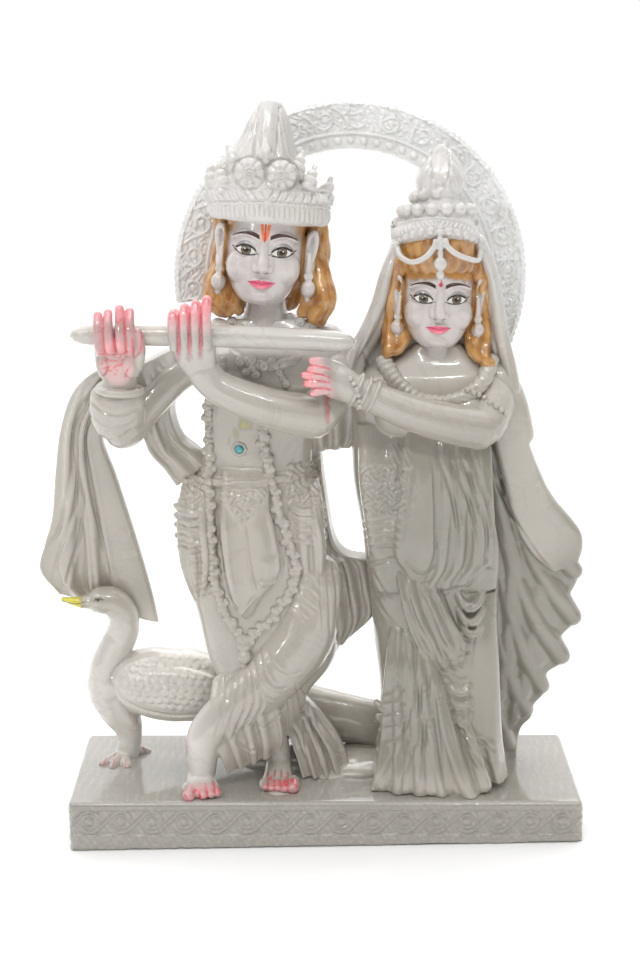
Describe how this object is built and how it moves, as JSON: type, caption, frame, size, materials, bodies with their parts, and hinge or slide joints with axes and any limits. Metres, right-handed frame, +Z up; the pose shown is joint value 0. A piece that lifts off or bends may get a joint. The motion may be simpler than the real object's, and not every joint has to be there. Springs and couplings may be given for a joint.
{
  "type": "radha krishna statue",
  "caption": "White marble group of a flute player with one leg crossed and a companion, with a swan and a carved arch behind their heads, on a plinth with a scroll band.",
  "frame": {"origin": "centre of the plinth's underside", "axes": "+Z up; -Y is the side that the figures face; +X points to the right for someone who looks at their faces"},
  "size_m": [0.3504, 0.108, 0.4574],
  "materials": {
    "white_marble": "polished white marble, with painted hair, eyes, lips, palms and toes",
    "teal_stone": "small polished teal stone"
  },
  "bodies": {
    "root": {"statue": "white_marble", "navel_stone": "teal_stone"}
  },
  "joints": []
}
